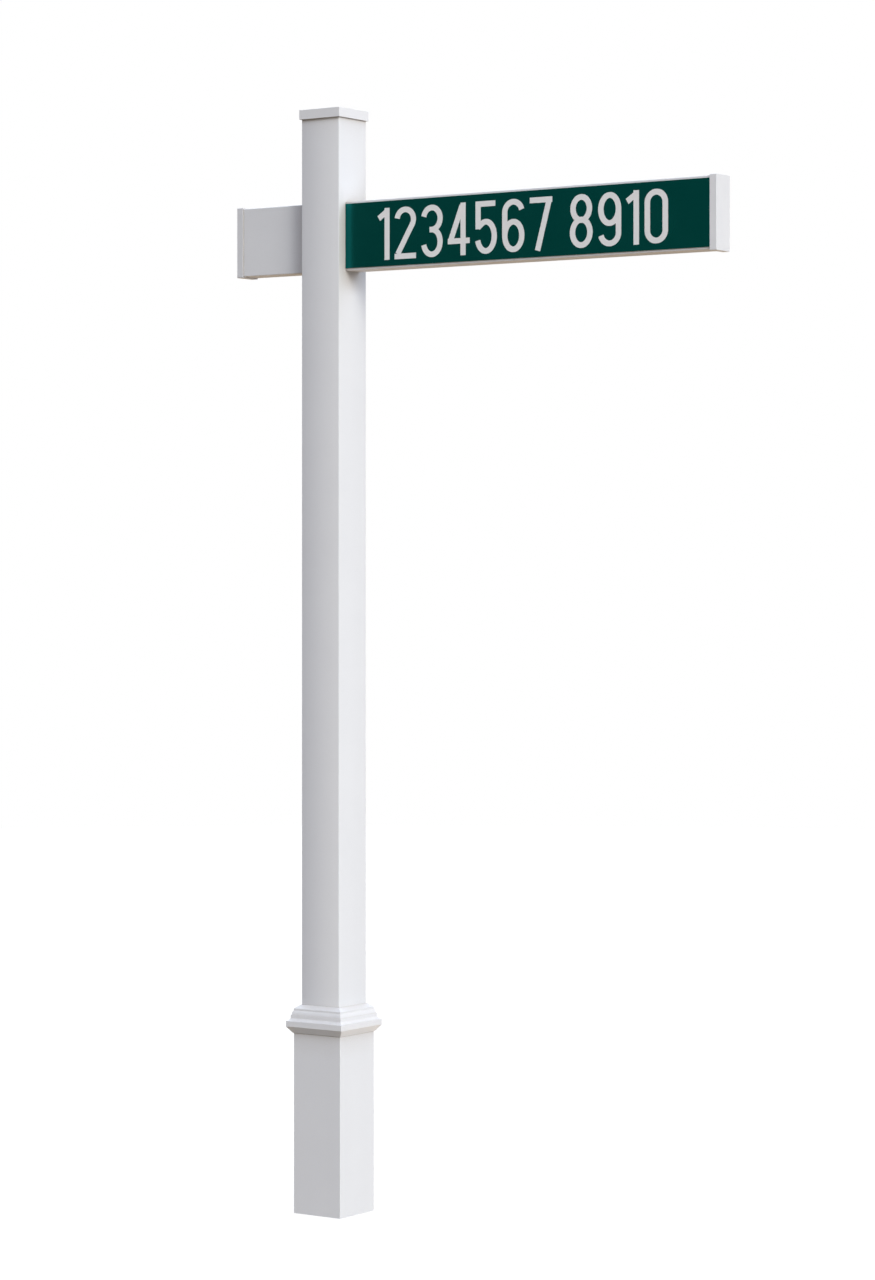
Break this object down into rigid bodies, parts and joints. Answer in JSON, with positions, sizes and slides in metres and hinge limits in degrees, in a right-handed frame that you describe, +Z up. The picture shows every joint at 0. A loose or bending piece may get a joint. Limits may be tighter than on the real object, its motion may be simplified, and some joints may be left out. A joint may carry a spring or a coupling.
{
  "type": "street name sign",
  "caption": "Street name sign on a square hollow post with a flat cap, a wider base sleeve under a stepped collar, and a capped rail through the post carrying a panel on each face.",
  "frame": {"origin": "axis of the post at ground level, in the middle of the post's open lower end", "axes": "+Z up along the post, +X along the sign side of the rail, -Y out of the front sign panel"},
  "size_m": [1.2452, 0.1524, 2.4414],
  "materials": {
    "extruded_vinyl": "white rigid PVC extrusion, low gloss",
    "moulded_vinyl": "white moulded PVC, satin",
    "spacer_plastic": "light grey moulded plastic, matte",
    "green_panel": "deep green gloss sheeting on aluminium sheet",
    "numeral_film": "white film numerals on the panels, in the visual model only"
  },
  "bodies": {
    "root": {"post": "extruded_vinyl", "post_cap": "moulded_vinyl", "base_sleeve": "extruded_vinyl", "sleeve_spacer": "spacer_plastic", "base_collar": "moulded_vinyl", "sign_arm": "extruded_vinyl", "arm_end_cap_long": "moulded_vinyl", "arm_end_cap_stub": "moulded_vinyl", "sign_panel_front": "green_panel", "sign_panel_back": "green_panel"}
  },
  "joints": []
}
